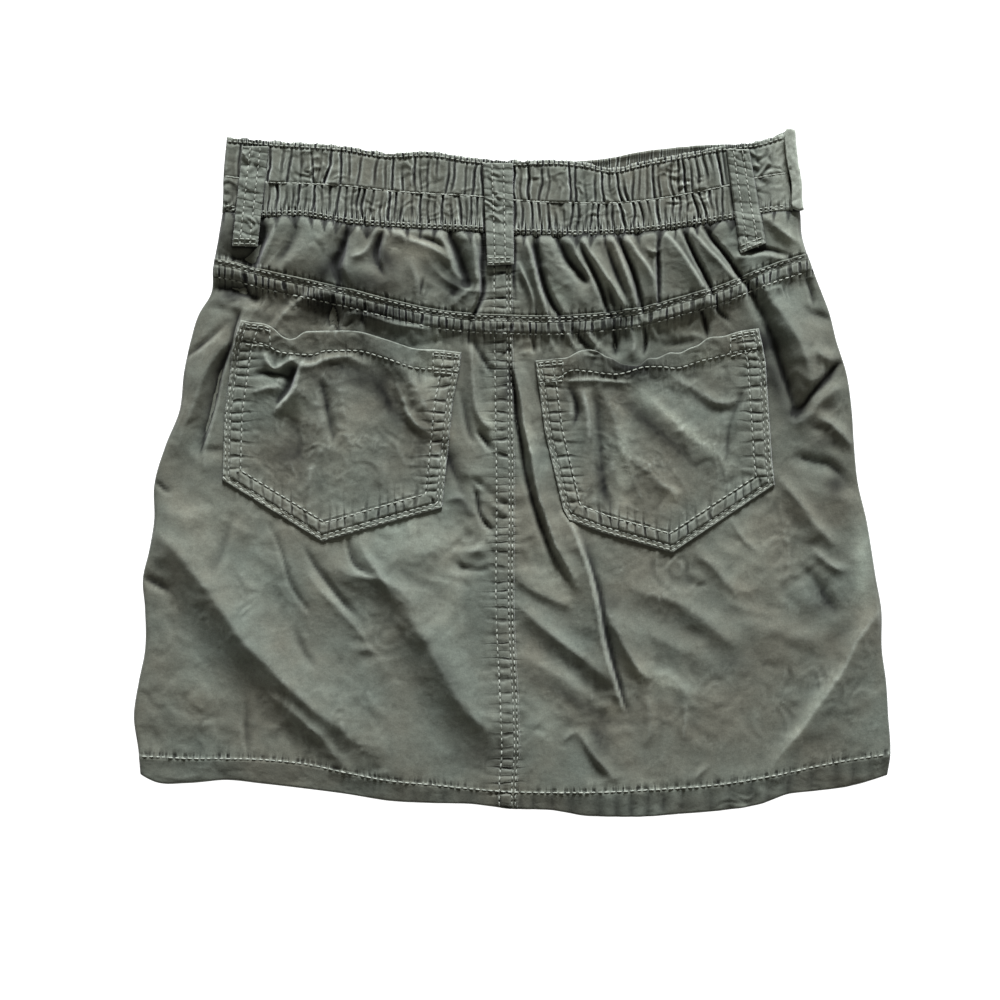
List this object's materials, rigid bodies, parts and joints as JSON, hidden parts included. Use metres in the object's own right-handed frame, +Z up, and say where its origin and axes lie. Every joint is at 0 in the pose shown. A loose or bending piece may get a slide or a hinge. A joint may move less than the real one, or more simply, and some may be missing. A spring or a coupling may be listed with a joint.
{
  "type": "cargo utility skirt",
  "caption": "Child's cotton skirt laid flat with its back up: gathered elastic waistband, belt loops, curved yoke, centre-back seam and pointed patch pockets.",
  "frame": {"origin": "centre of the laid skirt's box, on the surface that it lies on", "axes": "+Y to the waist, +X to the wearer's right, +Z up from the surface, out of the skirt's back"},
  "size_m": [0.3638, 0.33, 0.0092],
  "materials": {
    "faded_cotton": "garment-washed olive cotton poplin, matt, mottled brown and grey-green, paler on its ridges",
    "worn_trim": "the same poplin with paler, rubbed edges",
    "topstitch_thread": "pale sage cotton-wrapped sewing thread"
  },
  "bodies": {
    "root": {"back_panel_left": "faded_cotton", "back_panel_right": "faded_cotton", "back_yoke_left": "faded_cotton", "back_yoke_right": "faded_cotton", "back_waistband": "faded_cotton", "front_waistband": "faded_cotton", "front_panel": "faded_cotton", "belt_loop_left": "worn_trim", "belt_loop_centre": "worn_trim", "belt_loop_right": "worn_trim", "pocket_left": "worn_trim", "pocket_right": "worn_trim"}
  },
  "joints": []
}
